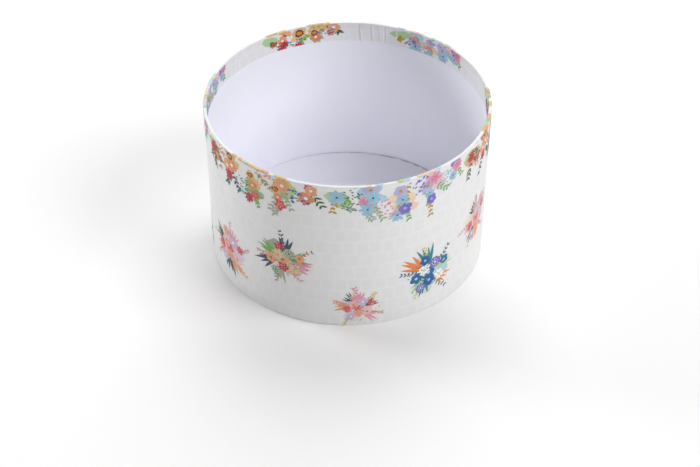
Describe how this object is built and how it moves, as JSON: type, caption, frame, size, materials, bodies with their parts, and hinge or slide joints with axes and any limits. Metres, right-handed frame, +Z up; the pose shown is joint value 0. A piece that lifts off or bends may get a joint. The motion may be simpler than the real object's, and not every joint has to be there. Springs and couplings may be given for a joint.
{
  "type": "hat box",
  "caption": "Round paper-covered board hat box, standing open with its printed paper turned in over the rim, and its lift-off lid lying beside it.",
  "frame": {"origin": "centre of the box's foot, on the surface it stands on", "axes": "+Z up along the box's axis; +X to the right, where the loose lid lies; +Y to the back, where the paper's seam is"},
  "size_m": [0.7936, 0.2572, 0.1534],
  "materials": {
    "printed_paper": "matt",
    "lining_card": "matt",
    "grey_board": "matt",
    "gummed_tape": "matt"
  },
  "bodies": {
    "box": {"outer_wrap": "printed_paper", "wall_board": "grey_board", "wall_joint_tape": "gummed_tape", "base_board": "grey_board", "wall_lining": "lining_card", "floor_lining": "lining_card", "bottom_paper": "lining_card"},
    "lid": {"lid_rim_wrap": "printed_paper", "lid_top_paper": "printed_paper", "lid_rim_board": "grey_board", "lid_joint_tape": "gummed_tape", "lid_top_board": "grey_board", "lid_edge_tape": "gummed_tape", "lid_rim_lining": "lining_card", "lid_top_lining": "lining_card"}
  },
  "joints": [
    {"name": "lid_lift", "type": "slide", "parent": "box", "child": "lid", "axis": [0, 0, 1], "range_m": [0, 0.2]}
  ]
}
